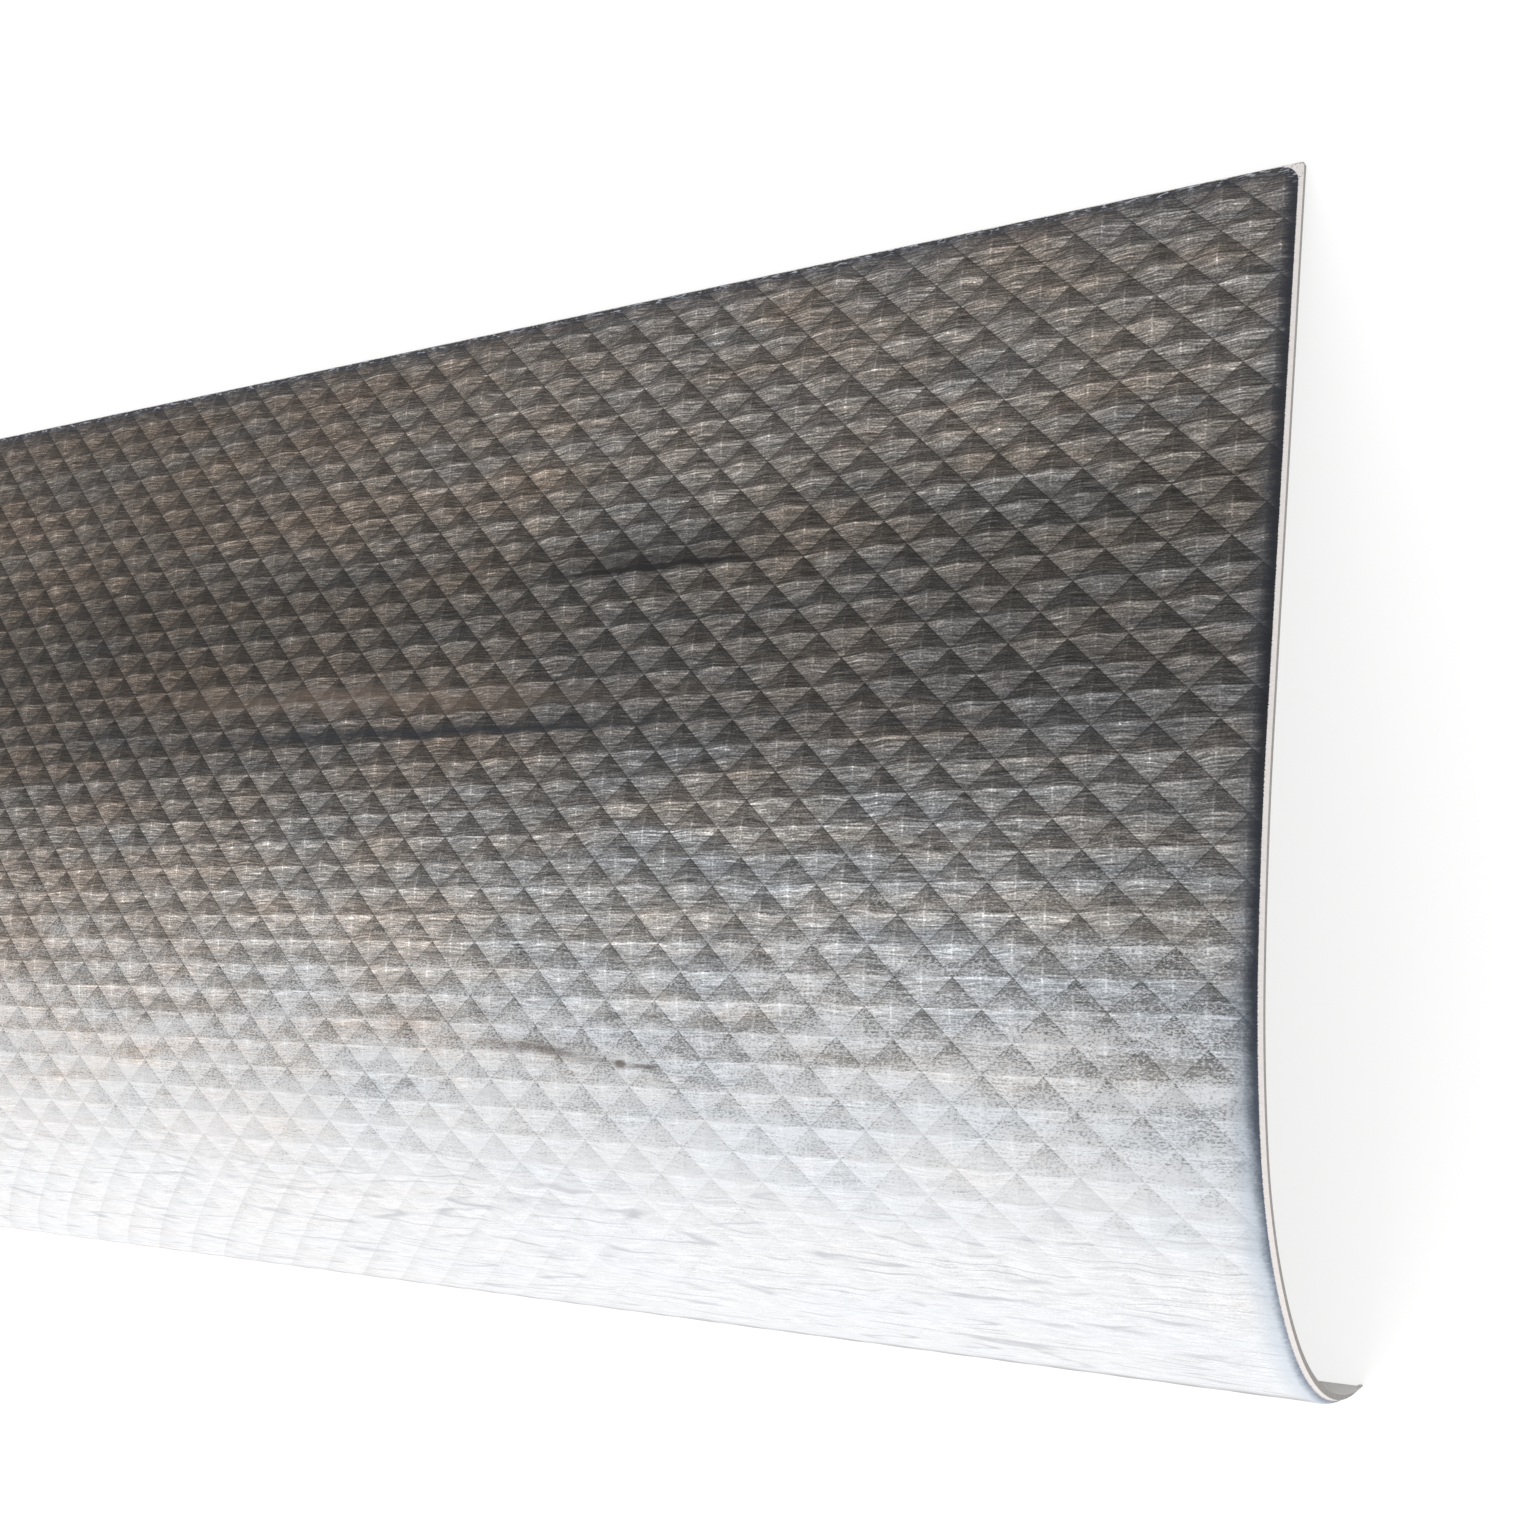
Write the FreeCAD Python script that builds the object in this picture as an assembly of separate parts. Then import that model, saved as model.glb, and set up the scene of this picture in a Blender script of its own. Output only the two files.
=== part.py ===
"""A textured plywood panel: one thin sheet, bent along one long side, lying face up.

Seen from its end the sheet is a hook. It is flat from its straight long edge for two
fifths of its width, and then curls down in four tangent bends, each tighter than the
one before, until the curled long edge has turned past a right angle. The back of the
last bend is thinned to a slim lip. The sheet lies like a low vault, textured face up,
and rests on its two long edges.

Millimetres. +X runs along the sheet, +Y from the curled long edge to the straight one,
+Z up. The origin is the middle of the footprint, on the floor.
"""
import FreeCAD, Part
import math
import os

# ---- driving dimensions ----------------------------------------------------
SHEET_LENGTH = 1220.0       # along X
SHEET_WIDTH = 610.0         # across the sheet, at mid-thickness, from long edge to long edge
THICKNESS = 5.0             # over the tops of the surface pattern

# The bends, from the flat to the curled edge: radius of the back face, turn in degrees.
BENDS = (
    (815.0, 7.0),
    (330.0, 11.5),
    (138.0, 34.0),
    (94.0, 60.5),
)

LIP_LENGTH = 55.0           # the stretch of the last bend where the back thins out
LIP_THICKNESS = 1.5         # what is left at the curled edge
ARRIS_CHAMFER = 1.0         # easing of the textured face's edges
CORNER_CHAMFER = 2.0        # the two corners at the straight edge, cut off in plan

TOLERANCE = 1e-6            # for telling edges apart
OUTLINE_SAMPLES = 4000      # points of the outline that are tried as the resting edge


def vector(y, z, x=0.0):
    """A point of the section, which lies in the YZ plane."""
    return FreeCAD.Vector(x, y, z)


def heading(turned):
    """The way the sheet runs, after turning down by so many radians."""
    return vector(-math.cos(turned), -math.sin(turned))


def outward(turned):
    """The textured face's normal there."""
    return vector(-math.sin(turned), math.cos(turned))


def arc_about(centre, radius, start, end):
    """The arc about a centre whose outward normal turns from start to end."""
    middle = (start + end) / 2.0
    points = [centre + outward(turned) * radius for turned in (start, middle, end)]
    return Part.Arc(*points).toShape()


def tangent_arc(start, normal, end):
    """The arc that leaves start square to normal and reaches end."""
    chord = end - start
    radius = -chord.dot(chord) / (2.0 * chord.dot(normal))
    centre = start - normal * radius
    halfway = (start - centre) + (end - centre)
    middle = centre + halfway * (radius / halfway.Length)
    return Part.Arc(start, middle, end).toShape()


def line(start, end):
    return Part.LineSegment(start, end).toShape()


def section():
    """The sheet's end outline and the textured side of it.

    The flat is level, and the straight edge is at Y = 0 with the back's corner at Z = 0.
    """
    bends = [(radius, math.radians(turn)) for radius, turn in BENDS]
    middle_arcs = sum((radius + THICKNESS / 2.0) * turn for radius, turn in bends)
    flat_run = SHEET_WIDTH - middle_arcs

    back_start = vector(0.0, 0.0)
    back_flat_end = back_start + heading(0.0) * flat_run
    face_start = back_start + outward(0.0) * THICKNESS
    face_flat_end = back_flat_end + outward(0.0) * THICKNESS

    face = [line(face_start, face_flat_end)]
    back = [line(back_flat_end, back_start), line(back_start, face_start)]

    # The bends, back and face about one centre each.
    turned = 0.0
    reached = back_flat_end
    for number, (radius, turn) in enumerate(bends):
        centre = reached - outward(turned) * radius
        turned_end = turned + turn
        face.append(arc_about(centre, radius + THICKNESS, turned, turned_end))
        if number < len(bends) - 1:
            back.insert(0, arc_about(centre, radius, turned_end, turned))
        else:
            # The lip: the back leaves the bend on a gentler arc and nears the face.
            lip_start = turned_end - LIP_LENGTH / (radius + THICKNESS)
            lip_root = centre + outward(lip_start) * radius
            lip_back = centre + outward(turned_end) * (radius + THICKNESS - LIP_THICKNESS)
            lip_face = centre + outward(turned_end) * (radius + THICKNESS)
            lip = tangent_arc(lip_root, outward(lip_start), lip_back)
            back.insert(0, arc_about(centre, radius, lip_start, turned))
            back.insert(0, lip)
            back.insert(0, line(lip_face, lip_back))
        reached = centre + outward(turned_end) * radius
        turned = turned_end

    face_line = Part.Wire(face)
    outline = Part.Wire(Part.__sortEdges__(face + back))
    return outline, face_line


def lean(outline):
    """How far the flat slopes, in degrees, when both long edges touch the floor."""
    slopes = [
        math.atan2(-point.z, -point.y)
        for point in outline.discretize(OUTLINE_SAMPLES)
        if -point.y > THICKNESS
    ]
    return math.degrees(max(slopes))


def is_corner(edge):
    """One of the two short edges through the thickness, at the straight edge's ends."""
    box = edge.BoundBox
    return box.XLength < TOLERANCE and box.YLength < TOLERANCE and box.YMax > -TOLERANCE


def is_arris(edge, face_lines):
    """An edge of the textured face, other than the curled one, which keeps its lip."""
    middle = edge.valueAt((edge.FirstParameter + edge.LastParameter) / 2.0)
    spot = Part.Vertex(middle)
    if middle.y > -CORNER_CHAMFER:
        return edge.BoundBox.ZMin > THICKNESS - TOLERANCE
    return any(spot.distToShape(face_line)[0] < TOLERANCE for face_line in face_lines)


def panel():
    """The sheet, bent and eased, laid on its two long edges about the origin."""
    outline, face_line = section()
    along = FreeCAD.Vector(SHEET_LENGTH, 0.0, 0.0)
    sheet = Part.Face(outline).extrude(along)

    corners = [edge for edge in sheet.Edges if is_corner(edge)]
    sheet = sheet.makeChamfer(CORNER_CHAMFER, corners)
    face_lines = (face_line, face_line.translated(along))
    arrises = [edge for edge in sheet.Edges if is_arris(edge, face_lines)]
    sheet = sheet.makeChamfer(ARRIS_CHAMFER, arrises)

    slope = FreeCAD.Rotation(FreeCAD.Vector(1.0, 0.0, 0.0), -lean(outline))
    box = outline.transformed(slope.toMatrix()).BoundBox
    down_and_centred = FreeCAD.Vector(-SHEET_LENGTH / 2.0, -box.Center.y, -box.ZMin)
    sheet.Placement = FreeCAD.Placement(down_and_centred, slope)
    return sheet


os.makedirs("parts", exist_ok=True)
panel().exportStep("parts/panel.step")
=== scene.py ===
import math

import bmesh
import bpy
from mathutils import Matrix, Vector


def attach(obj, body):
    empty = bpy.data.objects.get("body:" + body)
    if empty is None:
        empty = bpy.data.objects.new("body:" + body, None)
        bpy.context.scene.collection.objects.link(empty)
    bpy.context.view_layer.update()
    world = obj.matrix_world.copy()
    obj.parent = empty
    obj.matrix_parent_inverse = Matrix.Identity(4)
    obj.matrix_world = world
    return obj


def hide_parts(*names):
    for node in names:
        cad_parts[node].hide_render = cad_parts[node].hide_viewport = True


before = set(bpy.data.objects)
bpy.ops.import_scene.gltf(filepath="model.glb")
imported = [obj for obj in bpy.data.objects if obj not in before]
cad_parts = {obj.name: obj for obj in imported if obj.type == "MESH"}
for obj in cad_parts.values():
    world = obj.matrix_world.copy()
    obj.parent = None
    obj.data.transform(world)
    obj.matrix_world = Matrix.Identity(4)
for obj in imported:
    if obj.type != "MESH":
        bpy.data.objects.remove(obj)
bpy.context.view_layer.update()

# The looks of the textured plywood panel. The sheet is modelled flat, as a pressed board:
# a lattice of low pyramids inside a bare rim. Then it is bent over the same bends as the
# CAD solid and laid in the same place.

# ---- the sheet, in metres --------------------------------------------------
LENGTH = 1.220
WIDTH = 0.610
THICKNESS = 0.0050
BENDS = ((0.815, 7.0), (0.330, 11.5), (0.138, 34.0), (0.094, 60.5))
LIP_LENGTH = 0.055
LIP_THICKNESS = 0.0015
RIM_WIDTH = 0.002           # at the two ends
RIM_EDGE = 0.0006           # along the straight edge
RIM_THICKNESS = 0.003
RIM_CORNER = 0.0012         # the sheet's corners at the straight edge, cut off
RIM_ARRIS = 0.0003          # how much the rim's outer edge is eased
STEP_HALF = 0.0001          # half the width of the step up from the rim
FACE_CORNER = 0.009         # the textured layer's corners there, rounded
LAYER_LEAST = 0.0004        # the textured layer's thickness over the lip's back

# ---- the pattern -----------------------------------------------------------
DIAMOND_WIDE = 0.028        # along the sheet
DIAMOND_HIGH = 0.0267       # across it
FIRST_NODE_X = LENGTH / 2 - 0.0777
FIRST_NODE_S = 0.0395       # from the straight edge
RELIEF = 0.0020
PYRAMID_BULGE = 0.30
GROOVE_DEPTH = 0.0002
GROOVE_HALF = 0.08          # half the groove, as a share of half a diamond's side
CELL_STEPS = (0.0, 0.04, 0.27, 0.5, 0.73, 0.96)
EDGE_ROLL = 0.0045          # how far in the textured layer rolls over at its border
ROLL_ROWS = (0.12, 0.35, 0.65, 1.0)
CURL_FROM = 0.535           # where the relief has worn down on the curl
CURL_FADE = 0.095
CURL_RELIEF = 0.10

# ---- the mesh --------------------------------------------------------------
MERGE = 1e-7
LATTICE_MARGIN = 0.012      # how far the lattice goes past the sheet before it is cut
BACK_ROW_DEGREES = 2.5      # the turn of each row of the back
SMOOTH_DEGREES = 5.5        # edges sharper than this stay sharp
SIDE_NORMAL = 0.3           # faces steeper than this are the sawn edge
CORNER_FACES = 0.0009       # the length to which edges near the corners are divided

# ---- the stain and painted light: distance from the straight edge, and the colour there ---
# The facets that face the straight edge, darker as painted shade; towards the curl partly paler stain
# and partly painted light.
SHADED_FACETS = (
    (0.00, (92, 86, 81)), (0.10, (88, 82, 77)), (0.15, (63, 59, 55)), (0.24, (65, 62, 59)),
    (0.28, (94, 90, 87)), (0.33, (124, 121, 118)), (0.36, (140, 138, 136)), (0.39, (148, 146, 144)),
    (0.42, (176, 175, 174)), (0.45, (210, 210, 210)), (0.48, (238, 238, 238)), (0.61, (242, 242, 243)))
# The facets that face the curl, lighter as painted light; towards the curl partly paler stain and
# partly painted light.
LIT_FACETS = (
    (0.00, (124, 117, 111)), (0.10, (127, 121, 115)), (0.15, (103, 98, 93)), (0.24, (102, 98, 95)),
    (0.28, (132, 129, 126)), (0.33, (158, 156, 154)), (0.36, (176, 175, 174)), (0.39, (182, 181, 181)),
    (0.42, (202, 202, 202)), (0.45, (226, 226, 227)), (0.48, (241, 241, 242)), (0.61, (243, 243, 244)))
FIBRE = 5.6                 # how strongly each layer of grain darkens or lightens
STREAK = 1.8
BROAD = 0.8
CRUMB = 2.5
STROKES = -0.6
SPINE = 0.55                # the light line up each pyramid
CREST = 0.03                # and the one along its top
# The darkening along the grooves, most on the upper facets: painted shade, partly dirt.
GROOVE_SHADE = -0.42
UNDER_CURL = (0.558, 0.572)  # where the curl turns under
UNDER_SLANT = 0.0085
NEUTRAL = (1, 1, 1, 1)

# ---- marks in the stain: x, s, half length, half height, slope, softness, seed and share
SPLIT = (
    (0.288, 0.1560, 0.075, 0.0022, 0.01, 0.5, 31.0, 0.9),
    (0.290, 0.1515, 0.110, 0.0110, 0.02, 0.0, 33.0, 0.65))
STREAKS = (
    (0.10, 0.2340, 0.310, 0.0065, 0.02, 0.1, 35.0, 0.60),
    (0.20, 0.2365, 0.200, 0.0028, 0.02, 0.1, 36.0, 0.35),
    (0.47, 0.2480, 0.160, 0.0080, 0.08, 0.0, 37.0, 0.35))
GLOW = (
    (0.10, 0.2140, 0.260, 0.0120, 0.05, 0.0, 39.0, 0.30),)
KNOT = (
    (0.304, 0.4035, 0.0060, 0.0030, 0.0, 0.2, 41.0, 0.75),
    (0.318, 0.4040, 0.0120, 0.0016, 0.0, 0.2, 42.0, 0.6),
    (0.262, 0.3990, 0.075, 0.0040, 0.07, 0.0, 43.0, 0.55))

# ---- the view --------------------------------------------------------------
CAMERA_AT = (0.8506, 0.0021, 0.8357)
CAMERA_RIGHT = (0.84336, -0.04227, -0.53569)
CAMERA_UP = (0.04265, 0.99902, -0.01169)
CAMERA_LENS = 45.25

# ---- the stage -------------------------------------------------------------
KEY_AT = (-0.5, -2.4, 1.9)
KEY_SIZE = (1.6, 1.0)
KEY_POWER = 25.0
WORLD_STRENGTH = 0.82
FLOOR_SIZE = 30.0
FLOOR_LIT = 0.88            # the floor's colour for the light that it gives back
FLOOR_SHADED = 0.35         # what the camera sees of it: this much shading,
FLOOR_GLOW = 0.74           # and this much plain white


# ---- the bent sheet --------------------------------------------------------

def heading(turned):
    return Vector((0.0, -math.cos(turned), -math.sin(turned)))


def outward(turned):
    return Vector((0.0, -math.sin(turned), math.cos(turned)))


class Sheet:
    """Where a point of the flat sheet goes once it is bent and laid down."""

    def __init__(self):
        bends = [(radius, math.radians(turn)) for radius, turn in BENDS]
        arcs = [(radius + THICKNESS / 2) * turn for radius, turn in bends]
        self.flat_run = WIDTH - sum(arcs)
        self.bends = []
        turned, start, reached = 0.0, self.flat_run, heading(0.0) * self.flat_run
        for (radius, turn), arc in zip(bends, arcs):
            centre = reached - outward(turned) * radius
            self.bends.append((start, radius, centre, turned, turned + turn))
            turned, start = turned + turn, start + arc
            reached = centre + outward(turned) * radius
        self.lip_start = WIDTH - LIP_LENGTH
        tips = [self.bent(WIDTH, height) for height in (THICKNESS, THICKNESS - LIP_THICKNESS)]
        self.lean = max(math.atan2(-tip.z, -tip.y) for tip in tips)
        self.turn = Matrix.Rotation(-self.lean, 3, "X")
        _, radius, centre, _, _ = self.bends[-1]
        nearest = (self.turn @ centre).y - radius - THICKNESS
        furthest = (self.turn @ Vector((0.0, 0.0, RIM_THICKNESS))).y
        self.shift = Vector((0.0, -(nearest + furthest) / 2, 0.0))

    def bent(self, s, height):
        """A point at s across the sheet and so high over its back, with the flat level."""
        if s <= self.flat_run:
            return heading(0.0) * s + outward(0.0) * height
        for start, radius, centre, turned, _ in reversed(self.bends):
            if s >= start:
                break
        turned += (s - start) / (radius + THICKNESS / 2)
        return centre + outward(turned) * (radius + height)

    def laid(self, x, s, height):
        point = self.turn @ self.bent(s, height) + self.shift
        return Vector((x, point.y, point.z))

    def back(self, s):
        """The back's height, which rises along the lip."""
        share = min(max((s - self.lip_start) / LIP_LENGTH, 0.0), 1.0)
        return (THICKNESS - LIP_THICKNESS) * share * share


SHEET = Sheet()


# ---- the surface -----------------------------------------------------------

def lattice(x, s):
    """The two diagonal counts of the lattice, whole numbers along its grooves."""
    across = (x - FIRST_NODE_X) / DIAMOND_WIDE
    down = (s - FIRST_NODE_S) / DIAMOND_HIGH
    return across + down, across - down


def border_distance(x, s, end_inset, edge_inset, radius):
    """How far inside the border, whose two corners at the straight edge are rounded."""
    from_end = LENGTH / 2 - end_inset - abs(x)
    from_edge = s - edge_inset
    if from_end < radius and from_edge < radius:
        return radius - math.hypot(radius - from_end, radius - from_edge)
    return min(from_end, from_edge)


def pyramid(x, s):
    """The relief from 0 at a groove's shoulder to 1 at the top, below 0 in the groove."""
    a, b = lattice(x, s)
    rise = min(1 - abs(2 * (a % 1.0) - 1), 1 - abs(2 * (b % 1.0) - 1))
    if rise < GROOVE_HALF:
        return -(1 - rise / GROOVE_HALF) * GROOVE_DEPTH / RELIEF
    share = (rise - GROOVE_HALF) / (1 - GROOVE_HALF)
    return share * (1.0 + PYRAMID_BULGE * (1.0 - share))


def top_height(x, s):
    """The textured side's height over the back's level."""
    inside = border_distance(x, s, RIM_WIDTH, RIM_EDGE, FACE_CORNER)
    if inside <= 1e-6:
        return RIM_THICKNESS
    to_curl = min(max((CURL_FROM - s) / CURL_FADE, CURL_RELIEF), 1.0)
    tallest = THICKNESS - RELIEF * to_curl * (1.0 - pyramid(x, s))
    share = min(inside / EDGE_ROLL, 1.0)
    roll = math.sqrt(1.0 - (1.0 - share) ** 2)
    low = max(RIM_THICKNESS, SHEET.back(s) + LAYER_LEAST)
    return low + (tallest - low) * roll


def lattice_mesh():
    """The flat sheet's top as a grid along the grooves, a little larger than the sheet."""
    corners = [lattice(x, s) for x in (-LENGTH / 2, LENGTH / 2) for s in (0.0, WIDTH)]
    a_low, a_high = min(a for a, _ in corners), max(a for a, _ in corners)
    b_low, b_high = min(b for _, b in corners), max(b for _, b in corners)
    steps = len(CELL_STEPS)

    def lines(low, high):
        cells = range(math.floor(low) - 1, math.ceil(high) + 1)
        return [cell + step for cell in cells for step in CELL_STEPS]

    a_lines, b_lines = lines(a_low, a_high), lines(b_low, b_high)
    bm = bmesh.new()
    made = {}

    def vert(i, j):
        if (i, j) not in made:
            a, b = a_lines[i], b_lines[j]
            x = FIRST_NODE_X + (a + b) / 2 * DIAMOND_WIDE
            s = FIRST_NODE_S + (a - b) / 2 * DIAMOND_HIGH
            made[i, j] = bm.verts.new((x, s, 0.0))
        return made[i, j]

    margin = LATTICE_MARGIN
    for i in range(len(a_lines) - 1):
        for j in range(len(b_lines) - 1):
            x = FIRST_NODE_X + (a_lines[i] + b_lines[j]) / 2 * DIAMOND_WIDE
            s = FIRST_NODE_S + (a_lines[i] - b_lines[j]) / 2 * DIAMOND_HIGH
            if abs(x) > LENGTH / 2 + margin or not -margin < s < WIDTH + margin:
                continue
            p, q, r, t = vert(i, j), vert(i + 1, j), vert(i + 1, j + 1), vert(i, j + 1)
            # Each quad is split along the ridge that crosses it, if one does.
            level = (i % steps) - (j % steps)
            mirrored = (i % steps) + (j % steps)
            if level == 0:
                bm.faces.new((p, q, r))
                bm.faces.new((p, r, t))
            elif mirrored == steps - 1:
                bm.faces.new((p, q, t))
                bm.faces.new((q, r, t))
            else:
                bm.faces.new((p, q, r, t))
    return bm


def cut(bm, at, normal, clear=False):
    geom = bm.verts[:] + bm.edges[:] + bm.faces[:]
    bmesh.ops.bisect_plane(
        bm, geom=geom, dist=MERGE, plane_co=at, plane_no=normal, clear_outer=clear)


def cut_to_size(bm):
    """Cuts the sheet out of the lattice, with extra rows for the rim and the rolled border."""
    half = LENGTH / 2
    for side in (-1, 1):
        cut(bm, (side * half, 0, 0), (side, 0, 0), clear=True)
    cut(bm, (0, 0, 0), (0, -1, 0), clear=True)
    cut(bm, (0, WIDTH, 0), (0, 1, 0), clear=True)
    steps = [-STEP_HALF, STEP_HALF] + [EDGE_ROLL * share for share in ROLL_ROWS]
    for row in [RIM_ARRIS] + [RIM_WIDTH + step for step in steps]:
        for side in (-1, 1):
            cut(bm, (side * (half - row), 0, 0), (side, 0, 0))
    for row in [RIM_ARRIS] + [RIM_EDGE + step for step in steps]:
        cut(bm, (0, row, 0), (0, -1, 0))
    corner_cut = RIM_CORNER * 0.293
    for side in (-1, 1):
        cut(bm, (side * (half - corner_cut), corner_cut, 0), (side, -1, 0), clear=True)
    # Finer faces where the textured layer rounds its two corners.
    for _ in range(2):
        reach = RIM_WIDTH + FACE_CORNER + 0.003
        near = [
            edge for edge in bm.edges
            if all(v.co.y < reach and half - abs(v.co.x) < reach for v in edge.verts)
            and edge.calc_length() > CORNER_FACES
        ]
        bmesh.ops.subdivide_edges(bm, edges=near, cuts=1, use_grid_fill=True)


def close_below(bm):
    """The sides and the back, the back cut into rows that can bend."""
    rim = [edge for edge in bm.edges if edge.is_boundary]
    grown = bmesh.ops.extrude_edge_only(bm, edges=rim)["geom"]
    low = [item for item in grown if isinstance(item, bmesh.types.BMVert)]
    for v in low:
        v.co.z = SHEET.back(v.co.y)
        v[bm.verts.layers.float["height"]] = v.co.z
    border = [
        edge for edge in grown if isinstance(edge, bmesh.types.BMEdge) and edge.is_boundary]
    made = bmesh.ops.contextual_create(bm, geom=border)["faces"]
    for face in made:
        face.material_index = 1
    rows = [SHEET.flat_run] + [start for start, *_ in SHEET.bends[1:]]
    for start, radius, _, turned, end in SHEET.bends:
        count = max(4, round(math.degrees(end - turned) / BACK_ROW_DEGREES))
        arc = (end - turned) * (radius + THICKNESS / 2)
        rows += [start + arc * k / count for k in range(1, count)]
    for row in rows:
        below = [face for face in bm.faces if face.material_index == 1]
        edges = {edge for face in below for edge in face.edges}
        verts = {v for face in below for v in face.verts}
        bmesh.ops.bisect_plane(
            bm, geom=[*verts, *edges, *below], dist=MERGE,
            plane_co=(0, row, 0), plane_no=(0, 1, 0))


def build_panel():
    bm = lattice_mesh()
    cut_to_size(bm)
    height = bm.verts.layers.float.new("height")
    for v in bm.verts:
        edge_of_rim = border_distance(v.co.x, v.co.y, 0.0, 0.0, RIM_CORNER)
        v.co.z = top_height(v.co.x, v.co.y)
        if edge_of_rim < RIM_ARRIS and v.co.z < RIM_THICKNESS + 1e-5:
            v.co.z -= RIM_ARRIS
    close_below(bm)

    # Where a point lies on the flat sheet is kept for the materials, in metres.
    uv = bm.loops.layers.uv.new("sheet")
    for face in bm.faces:
        for loop in face.loops:
            loop[uv].uv = (loop.vert.co.x, loop.vert.co.y)
    bm.normal_update()
    for edge in bm.edges:
        if len(edge.link_faces) == 2:
            edge.smooth = edge.calc_face_angle(0.0) < math.radians(SMOOTH_DEGREES)
            if {f.material_index for f in edge.link_faces} == {0, 1}:
                edge.smooth = False
    for face in bm.faces:
        face.smooth = True
        if face.material_index == 0 and abs(face.normal.z) < SIDE_NORMAL:
            face.material_index = 2
    for v in bm.verts:
        s = v.co.y
        z = max(v.co.z, SHEET.back(s) + 0.00005) if v.co.z > SHEET.back(s) else v.co.z
        v.co = SHEET.laid(v.co.x, s, z)
    bmesh.ops.triangulate(bm, faces=[face for face in bm.faces if len(face.verts) > 4])
    bmesh.ops.recalc_face_normals(bm, faces=bm.faces[:])
    mesh = bpy.data.meshes.new("textured_panel")
    bm.to_mesh(mesh)
    bm.free()
    piece = bpy.data.objects.new("textured_panel", mesh)
    bpy.context.scene.collection.objects.link(piece)
    print("triangles", sum(len(p.vertices) - 2 for p in mesh.polygons))
    return piece


# ---- the materials ---------------------------------------------------------

def linear(red, green, blue):
    """A colour given on the usual 0 to 255 scale, as a shader takes it."""
    return tuple(((part / 255 + 0.055) / 1.055) ** 2.4 for part in (red, green, blue)) + (1.0,)


class Paint:
    """A material, and short ways to join its nodes."""

    def __init__(self, name):
        self.material = bpy.data.materials.new(name)
        self.material.use_nodes = True
        self.nodes = self.material.node_tree.nodes
        self.links = self.material.node_tree.links
        self.shader = self.nodes["Principled BSDF"]
        split = self.nodes.new("ShaderNodeSeparateXYZ")
        uv = self.nodes.new("ShaderNodeUVMap")
        uv.uv_map = "sheet"
        self.links.new(uv.outputs[0], split.inputs[0])
        self.x, self.s = split.outputs[0], split.outputs[1]

    def put(self, socket, value):
        if isinstance(value, bpy.types.NodeSocket):
            self.links.new(value, socket)
        else:
            socket.default_value = value

    def math(self, operation, *values, clamp=False):
        node = self.nodes.new("ShaderNodeMath")
        node.operation = operation
        node.use_clamp = clamp
        for socket, value in zip(node.inputs, values):
            self.put(socket, value)
        return node.outputs[0]

    def add(self, *values):
        total = values[0]
        for value in values[1:]:
            total = self.math("ADD", total, value)
        return total

    def times(self, *values):
        product = values[0]
        for value in values[1:]:
            product = self.math("MULTIPLY", product, value)
        return product

    def less(self, a, b):
        return self.math("SUBTRACT", a, b)

    def rise(self, value, low, high, to_low=0.0, to_high=1.0):
        """to_low below low, to_high above high, and smooth between."""
        node = self.nodes.new("ShaderNodeMapRange")
        node.interpolation_type = "SMOOTHSTEP"
        for socket, item in zip(node.inputs, (value, low, high, to_low, to_high)):
            self.put(socket, item)
        return node.outputs[0]

    def noise(self, along, across, detail=3.0, rough=0.55, seed=0.0, bend=None):
        """Noise of so many turns a metre along and across the sheet."""
        join = self.nodes.new("ShaderNodeCombineXYZ")
        s = self.s if bend is None else self.add(self.s, bend)
        self.put(join.inputs[0], self.times(self.x, along))
        self.put(join.inputs[1], self.times(s, across))
        join.inputs[2].default_value = seed
        node = self.nodes.new("ShaderNodeTexNoise")
        node.inputs["Scale"].default_value = 1.0
        node.inputs["Detail"].default_value = detail
        node.inputs["Roughness"].default_value = rough
        self.links.new(join.outputs[0], node.inputs["Vector"])
        return node.outputs[0]

    def ramp(self, value, stops):
        """A colour ramp through the stops, which are given in order."""
        node = self.nodes.new("ShaderNodeValToRGB")
        self.put(node.inputs[0], value)
        elements = node.color_ramp.elements
        elements[0].position, elements[-1].position = stops[0][0], stops[-1][0]
        for place, _ in stops[1:-1]:
            elements.new(place)
        for element, (_, colour) in zip(elements, stops):
            element.color = colour
        return node.outputs[0]

    def mix(self, share, first, second, blend="MIX"):
        node = self.nodes.new("ShaderNodeMix")
        node.data_type = "RGBA"
        node.blend_type = blend
        self.put(node.inputs[0], share)
        self.put(node.inputs[6], first)
        self.put(node.inputs[7], second)
        return node.outputs[2]

    def scaled(self, colour, factor):
        node = self.nodes.new("ShaderNodeVectorMath")
        node.operation = "SCALE"
        self.put(node.inputs[0], colour)
        self.put(node.inputs["Scale"], factor)
        return node.outputs[0]

    def finish(self, colour, roughness, bump=None, strength=0.3, depth=0.0003):
        self.put(self.shader.inputs["Base Color"], colour)
        self.shader.inputs["Roughness"].default_value = roughness
        self.shader.inputs["Specular IOR Level"].default_value = 0.25
        if bump is not None:
            node = self.nodes.new("ShaderNodeBump")
            node.inputs["Strength"].default_value = strength
            node.inputs["Distance"].default_value = depth
            self.put(node.inputs["Height"], bump)
            self.links.new(node.outputs[0], self.shader.inputs["Normal"])
        return self.material


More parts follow.
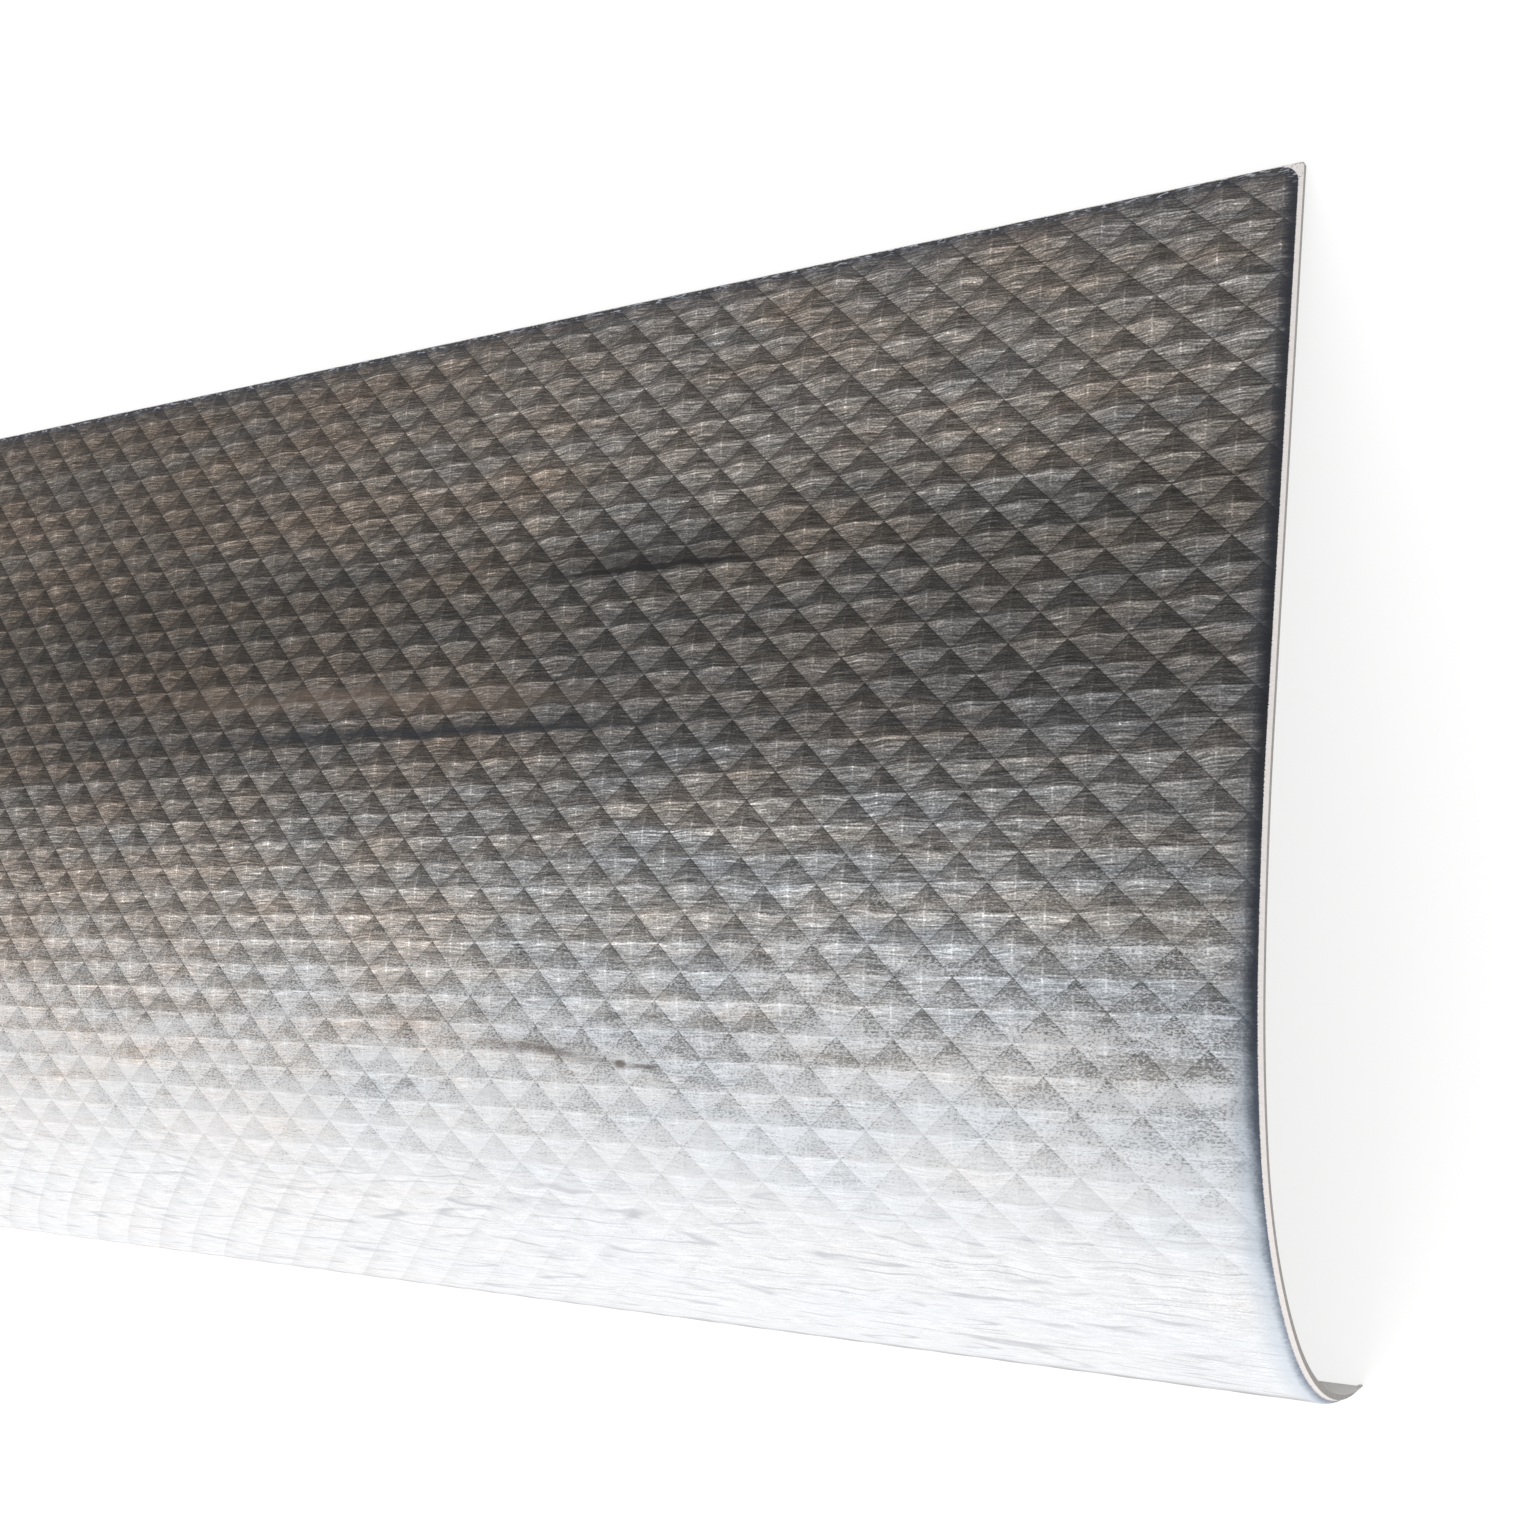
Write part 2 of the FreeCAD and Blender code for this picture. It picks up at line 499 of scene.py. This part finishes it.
def textured_face():
    """Dark stain that pales to white on the curl, the white partly painted light, over a lattice of
    low pyramids.
    """
    p = Paint("textured_face")

    # The place in its diamond: up and across both run from -1 to 1, tip to tip.
    across = p.times(p.less(p.x, FIRST_NODE_X), 1 / DIAMOND_WIDE)
    down = p.times(p.less(p.s, FIRST_NODE_S), 1 / DIAMOND_HIGH)
    a = p.less(p.math("FRACT", p.add(across, down)), 0.5)
    b = p.less(p.math("FRACT", p.less(across, down)), 0.5)
    up, side = p.less(a, b), p.add(a, b)
    rise = p.less(1.0, p.add(p.math("ABSOLUTE", up), p.math("ABSOLUTE", side)))
    ragged = p.noise(60.0, 160.0, seed=3.0)
    lower = p.rise(p.add(up, p.times(p.less(ragged, 0.5), 0.10)), -0.03, 0.03)
    upper = p.less(1.0, lower)

    # The stain, one ramp for the facets towards the straight edge, darker as painted shade, and one
    # for the others, lighter as painted light; both pale towards the curl, partly as real stain and
    # partly as painted light.
    drift = p.times(p.less(p.noise(3.0, 9.0, seed=1.0), 0.5), 0.022)
    place = p.times(p.add(p.s, drift), 1 / WIDTH)
    shaded_side = p.ramp(place, [(at / WIDTH, linear(*colour)) for at, colour in SHADED_FACETS])
    lit_side = p.ramp(place, [(at / WIDTH, linear(*colour)) for at, colour in LIT_FACETS])
    colour = p.mix(lower, shaded_side, lit_side)

    # Tone, added up as a logarithm: fibres, streaks, facets, ridges and grooves; the facet tone, the
    # lighter diamond middles and the darker grooves are painted light and shade, the grooves partly
    # dirt.
    wave = p.times(p.less(p.noise(22.0, 40.0, detail=2.0, seed=5.0), 0.5), 0.006)
    fibre = p.noise(85.0, 1150.0, detail=3.0, rough=0.65, seed=7.0, bend=wave)
    streak = p.noise(26.0, 330.0, detail=3.0, rough=0.6, seed=9.0, bend=wave)
    broad = p.noise(7.0, 60.0, detail=3.0, seed=11.0, bend=wave)
    crumb = p.noise(900.0, 1300.0, detail=1.0, seed=13.0)
    strokes = p.noise(70.0, 800.0, detail=2.0, rough=0.6, seed=15.0, bend=wave)
    strokes = p.rise(strokes, 0.40, 0.30)
    tone = p.add(
        p.times(p.less(fibre, 0.5), FIBRE),
        p.times(p.less(streak, 0.5), STREAK),
        p.times(p.less(broad, 0.5), BROAD),
        p.times(p.less(crumb, 0.5), CRUMB),
        p.times(strokes, STROKES))
    # Painted light and shade: the tone across each facet, and the left facets lighter than the right,
    # as the lamp falls on the pyramids.
    facet_shading = p.add(
        p.times(upper, p.add(0.19, p.times(up, 0.38))),
        p.times(lower, p.less(0.19, p.times(up, 0.42))),
        p.times(p.rise(side, -0.03, 0.03, 1.0, -1.0), p.add(0.02, p.times(upper, 0.07))))
    broken = p.rise(p.noise(200.0, 420.0, detail=2.0, seed=17.0), 0.42, 0.58)
    width = p.math("ABSOLUTE", side)
    spine = p.times(p.rise(width, 0.055, 0.012), p.add(0.25, p.times(broken, 0.75)))
    near_top = p.rise(p.math("ABSOLUTE", up), 0.95, 0.2)
    crest = p.times(p.rise(up, -0.01, 0.02), p.rise(up, 0.14, 0.03), p.add(0.3, broken))
    middle = p.rise(p.add(p.math("ABSOLUTE", up), p.times(width, 0.8)), 0.42, 0.0)
    groove = p.rise(rise, 0.075, 0.02)
    lattice_tone = p.add(
        facet_shading,
        p.times(spine, near_top, SPINE),
        p.times(crest, CREST),
        # The diamond middles lighter and darker towards the grooves: painted shade.
        p.times(middle, 0.16),
        # The darkening along the grooves: painted shade, partly dirt.
        p.times(groove, p.add(-0.10, p.times(upper, GROOVE_SHADE))))
    pale = p.rise(p.s, 0.27, 0.47)
    lattice_share = p.rise(p.s, 0.32, 0.49, 1.0, 0.12)
    # Towards the left the grooves of one diagonal still show on the curl, as painted shade beside each
    # groove, and the other diagonal's grooves as fainter painted shade.
    left_curl = p.times(p.rise(p.s, 0.44, 0.50), p.rise(p.x, 0.42, 0.02))
    step = p.less(0.5, a)
    groove_step_shade = p.times(step, step, step, left_curl, -0.24)
    other_groove_shade = p.times(p.rise(p.math("ABSOLUTE", b), 0.40, 0.5), left_curl, -0.05)
    tone = p.times(tone, p.rise(p.s, 0.27, 0.47, 1.0, 0.27))
    tone = p.add(tone, p.times(lattice_tone, lattice_share), groove_step_shade, other_groove_shade)

    # Larger tone: darker towards the far left of the flat, and towards the right end low down, the
    # latter painted shade towards the rolled border.
    flat_left = p.times(p.rise(p.x, 0.36, -0.12), p.rise(p.s, 0.26, 0.14))
    far_left = p.times(p.rise(p.x, 0.12, -0.15), p.rise(p.s, 0.40, 0.34))
    low_right_shade = p.times(
        p.rise(p.x, 0.46, 0.60), p.rise(p.s, 0.24, 0.32), p.rise(p.s, 0.47, 0.40))
    tone = p.add(
        tone,
        p.times(flat_left, -0.42),
        p.times(far_left, -0.12),
        p.times(low_right_shade, -0.30))
    colour = p.scaled(colour, p.math("EXPONENT", tone))

    # Warm brown and cool grey patches; the left is warmer.
    warmth = p.add(
        p.noise(9.0, 34.0, detail=3.0, seed=19.0, bend=wave),
        p.rise(p.x, 0.45, -0.2, -0.07, 0.14),
        p.times(p.rise(p.x, 0.30, 0.0), p.rise(p.s, 0.29, 0.35), 0.07),
        p.times(pale, -0.03))
    tint = p.ramp(warmth, [
        (0.30, (0.93, 1.00, 1.08, 1)), (0.46, (0.99, 1.00, 1.01, 1)),
        (0.56, (1.04, 1.00, 0.96, 1)), (0.76, (1.13, 0.99, 0.88, 1))])
    tint = p.mix(p.rise(p.s, 0.40, 0.49, 1.0, 0.3), NEUTRAL, tint)
    colour = p.mix(1.0, colour, tint, "MULTIPLY")

    # White dry-brushed specks, thick towards the curl and thin on the high points.
    brush = p.add(
        p.times(p.noise(620.0, 1300.0, detail=2.0, rough=0.7, seed=21.0), 0.65),
        p.times(p.noise(16.0, 90.0, detail=3.0, seed=23.0, bend=wave), 0.35))
    cover = p.add(p.rise(p.s, 0.20, 0.50, 0.0, 0.25), p.times(middle, 0.04))
    specks = p.rise(p.add(brush, cover), 0.64, 0.72)
    specks = p.times(specks, p.rise(p.s, 0.22, 0.44, 0.20, 0.65))
    colour = p.mix(specks, colour, linear(238, 240, 243))

    # The underside of the curl is greyer.
    under = p.rise(p.add(p.s, p.times(p.x, UNDER_SLANT)), *UNDER_CURL)
    grey = p.ramp(p.add(p.times(fibre, 0.5), p.times(streak, 0.5)), [
        (0.32, linear(122, 118, 117)), (0.52, linear(160, 157, 158)),
        (0.72, linear(196, 194, 195))])
    colour = p.mix(p.times(under, 0.9), colour, grey)

    # Fine grey grain lines that wander along the white curl.
    contour = p.noise(2.2, 34.0, detail=2.0, seed=25.0, bend=wave)
    contour = p.math("FRACT", p.times(contour, 15.0))
    vein = p.rise(p.math("ABSOLUTE", p.less(contour, 0.5)), 0.15, 0.0)
    broken_veins = p.rise(p.noise(24.0, 110.0, seed=27.0), 0.40, 0.58)
    vein = p.times(vein, p.rise(p.s, 0.43, 0.48), broken_veins)
    vein = p.times(vein, p.less(0.55, p.times(under, 0.2)))
    colour = p.mix(vein, colour, linear(178, 179, 186))

    # A dark split, a knot with its tail, and a long blue-black mineral streak.
    def mark(x, s, half_long, half_high, slope, soft, seed):
        wander = p.times(p.less(p.noise(30.0, 60.0, seed=seed), 0.5), half_high * 2.2)
        along = p.times(p.less(p.x, x), 1 / half_long)
        level = p.add(s, p.times(p.less(p.x, x), slope), wander)
        high = p.times(p.less(p.s, level), 1 / half_high)
        reach = p.math("SQRT", p.add(p.times(along, along), p.times(high, high)))
        return p.rise(reach, 1.0, soft)

    for rows, most, mark_colour in (
            (SPLIT, 0.92, (26, 23, 23)), (STREAKS, 0.8, (40, 44, 51)),
            (GLOW, 1.0, (150, 127, 110)), (KNOT, 0.8, (82, 66, 63))):
        strength = p.add(*[p.times(mark(*row), share) for *row, share in rows])
        colour = p.mix(p.math("MINIMUM", strength, most), colour, linear(*mark_colour))

    # The rolled border of the textured layer, with a painted bluish haze and a painted blue-black
    # reflection along it, painted highlight flecks on it, and the bare rim outside it, pale partly in
    # its own colour and partly as a painted highlight.
    from_end = p.less(LENGTH / 2 - RIM_WIDTH - FACE_CORNER, p.math("ABSOLUTE", p.x))
    from_edge = p.less(p.s, RIM_EDGE + FACE_CORNER)
    end_in = p.math("MAXIMUM", p.times(from_end, -1.0), 0.0)
    edge_in = p.math("MAXIMUM", p.times(from_edge, -1.0), 0.0)
    corner = p.math("SQRT", p.add(p.times(end_in, end_in), p.times(edge_in, edge_in)))
    nearest = p.math("MAXIMUM", p.math("MINIMUM", from_end, from_edge), 0.0)
    inside = p.add(FACE_CORNER, nearest, p.times(corner, -1.0))
    fuzz = p.add(
        p.times(p.less(p.noise(500.0, 700.0, detail=3.0, rough=0.7, seed=45.0), 0.5), 0.0035),
        p.times(p.less(p.noise(40.0, 40.0, seed=46.0), 0.5), 0.003))
    fuzzy = p.add(inside, fuzz)
    at_edge = p.rise(from_edge, 0.004, -0.004)
    # The bluish haze along the rolled border: a painted reflection.
    border_haze_reflection = p.times(p.rise(fuzzy, 0.015, 0.003), p.rise(p.s, 0.25, 0.45, 0.45, 0.70))
    haze_reflection_colour = p.ramp(place, [
        (0.0, linear(62, 66, 76)), (0.45, linear(66, 71, 80)), (0.62, linear(112, 121, 133)),
        (0.72, linear(180, 192, 206)), (0.85, linear(212, 221, 232)), (1.0, linear(216, 224, 234))])
    border_haze_reflection = p.times(border_haze_reflection, p.less(1.0, p.times(at_edge, 0.6)))
    colour = p.mix(border_haze_reflection, colour, haze_reflection_colour)
    # The blue-black band along the rolled border: a painted reflection.
    dark_reflection_colour = p.ramp(place, [
        (0.0, linear(44, 46, 54)), (0.40, linear(25, 28, 35)), (0.62, linear(44, 50, 60)),
        (0.72, linear(78, 88, 104)), (0.80, linear(118, 131, 150)), (1.0, linear(132, 144, 162))])
    reflection_inner = p.rise(p.s, 0.36, 0.50, 0.0078, 0.0040)
    reflection_outer = p.rise(p.s, 0.36, 0.50, 0.0012, -0.0008)
    dark_reflection = p.times(p.rise(fuzzy, reflection_inner, reflection_outer), p.less(0.95, p.times(at_edge, 0.15)))
    colour = p.mix(dark_reflection, colour, dark_reflection_colour)
    # Pale flecks on the rolled border's ridges: painted highlights.
    fleck_highlights = p.times(
        p.rise(p.noise(260.0, 900.0, detail=2.0, seed=47.0), 0.50, 0.62),
        p.rise(inside, 0.0045, 0.0010), p.rise(width, 0.75, 0.15), at_edge)
    colour = p.mix(p.times(fleck_highlights, 0.75), colour, linear(205, 212, 224))
    # The bare rim, pale partly in its own colour and partly as a painted highlight.
    bare_grain = p.noise(400.0, 1500.0, detail=2.0, seed=49.0)
    bare_rim_and_highlight = p.mix(bare_grain, linear(228, 220, 216), linear(250, 246, 244))
    spatter = p.rise(p.noise(900.0, 900.0, detail=2.0, seed=51.0), 0.56, 0.62)
    bare_rim_and_highlight = p.mix(p.times(spatter, at_edge, 0.7), bare_rim_and_highlight, linear(60, 60, 66))
    edge_fuzz = p.noise(1400.0, 1400.0, detail=2.0, seed=53.0)
    edge_fuzz = p.times(p.less(edge_fuzz, 0.5), 0.0010)
    colour = p.mix(p.rise(p.add(inside, edge_fuzz), 0.0002, -0.0001), colour, bare_rim_and_highlight)

    return p.finish(colour, 0.62, fibre, 0.35, 0.0003)


def cut_edge():
    """The sawn edge, greyed by the stain."""
    p = Paint("cut_edge")
    grain = p.noise(300.0, 500.0, detail=3.0, seed=61.0)
    colour = p.mix(grain, linear(146, 143, 140), linear(190, 186, 182))
    return p.finish(colour, 0.75, grain, 0.2, 0.0002)


def back_veneer():
    """The plain back: a greyish veneer with straight grain and a few pores."""
    p = Paint("back_veneer")
    wave = p.times(p.less(p.noise(4.0, 9.0, detail=2.0, seed=71.0), 0.5), 0.02)
    broad = p.noise(2.5, 60.0, detail=4.0, rough=0.6, seed=73.0, bend=wave)
    fine = p.noise(20.0, 900.0, detail=3.0, rough=0.6, seed=75.0, bend=wave)
    colour = p.ramp(p.add(p.times(broad, 0.6), p.times(fine, 0.4)), [
        (0.30, linear(160, 151, 142)), (0.50, linear(190, 182, 173)),
        (0.70, linear(213, 206, 198))])
    pores = p.rise(p.noise(45.0, 1500.0, detail=2.0, seed=77.0, bend=wave), 0.36, 0.30)
    colour = p.mix(p.times(pores, 0.45), colour, linear(104, 90, 78))
    # Near white towards the curled lip: painted light on the inner face.
    colour = p.mix(p.rise(p.s, 0.50, 0.57, 0.0, 0.9), colour, linear(248, 247, 246))
    return p.finish(colour, 0.7, p.add(fine, p.times(pores, -0.6)), 0.25, 0.0003)


# ---- the stage -------------------------------------------------------------

def add_camera():
    data = bpy.data.cameras.new("camera")
    data.lens = CAMERA_LENS
    data.sensor_width = 36.0
    data.clip_start = 0.01
    camera = bpy.data.objects.new("camera", data)
    right, up = Vector(CAMERA_RIGHT), Vector(CAMERA_UP)
    back = right.cross(up)
    turn = Matrix((right, up, back)).transposed().to_4x4()
    camera.matrix_world = Matrix.Translation(CAMERA_AT) @ turn
    bpy.context.scene.collection.objects.link(camera)
    bpy.context.scene.camera = camera


def seen_directly(nodes, links):
    """1 for the camera's own rays and those seen in gloss or through glass, else 0."""
    path = nodes.new("ShaderNodeLightPath")
    seen = path.outputs["Is Camera Ray"]
    for name in ("Is Glossy Ray", "Is Transmission Ray"):
        either = nodes.new("ShaderNodeMath")
        either.operation = "MAXIMUM"
        links.new(seen, either.inputs[0])
        links.new(path.outputs[name], either.inputs[1])
        seen = either.outputs[0]
    return seen


def add_floor():
    """A pale floor that the camera sees as white, with the panel's soft shadow on it."""
    bpy.ops.mesh.primitive_plane_add(size=FLOOR_SIZE, location=(0, 0, 0))
    floor = bpy.context.object
    floor.name = "floor"
    material = bpy.data.materials.new("white_floor")
    material.use_nodes = True
    nodes, links = material.node_tree.nodes, material.node_tree.links
    nodes.remove(nodes["Principled BSDF"])
    seen = seen_directly(nodes, links)
    lit = nodes.new("ShaderNodeBsdfDiffuse")
    lit.inputs["Color"].default_value = (FLOOR_LIT, FLOOR_LIT, FLOOR_LIT, 1)
    shaded = nodes.new("ShaderNodeBsdfDiffuse")
    shaded.inputs["Color"].default_value = (FLOOR_SHADED, FLOOR_SHADED, FLOOR_SHADED, 1)
    glow = nodes.new("ShaderNodeEmission")
    glow.inputs["Color"].default_value = NEUTRAL
    glow.inputs["Strength"].default_value = FLOOR_GLOW
    both = nodes.new("ShaderNodeAddShader")
    links.new(shaded.outputs[0], both.inputs[0])
    links.new(glow.outputs[0], both.inputs[1])
    mixed = nodes.new("ShaderNodeMixShader")
    links.new(seen, mixed.inputs[0])
    links.new(lit.outputs[0], mixed.inputs[1])
    links.new(both.outputs[0], mixed.inputs[2])
    links.new(mixed.outputs[0], nodes["Material Output"].inputs["Surface"])
    floor.data.materials.append(material)


def add_area(name, at, size, power):
    data = bpy.data.lights.new(name, "AREA")
    data.shape = "RECTANGLE"
    data.size, data.size_y = size
    data.energy = power
    lamp = bpy.data.objects.new(name, data)
    lamp.matrix_world = (
        Matrix.Translation(at) @ Vector(at).to_track_quat("Z", "Y").to_matrix().to_4x4())
    bpy.context.scene.collection.objects.link(lamp)


def add_light():
    add_area("key", KEY_AT, KEY_SIZE, KEY_POWER)
    world = bpy.data.worlds.new("studio")
    bpy.context.scene.world = world
    world.use_nodes = True
    nodes, links = world.node_tree.nodes, world.node_tree.links
    nodes["Background"].inputs["Color"].default_value = NEUTRAL
    nodes["Background"].inputs["Strength"].default_value = WORLD_STRENGTH
    white = nodes.new("ShaderNodeBackground")
    white.inputs["Color"].default_value = NEUTRAL
    mixed = nodes.new("ShaderNodeMixShader")
    links.new(seen_directly(nodes, links), mixed.inputs[0])
    links.new(nodes["Background"].outputs[0], mixed.inputs[1])
    links.new(white.outputs[0], mixed.inputs[2])
    links.new(mixed.outputs[0], nodes["World Output"].inputs["Surface"])


add_camera()
add_floor()
add_light()
panel = build_panel()
for material in (textured_face(), back_veneer(), cut_edge()):
    panel.data.materials.append(material)
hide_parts("panel")
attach(panel, "root")
bpy.context.scene.view_settings.view_transform = "Standard"
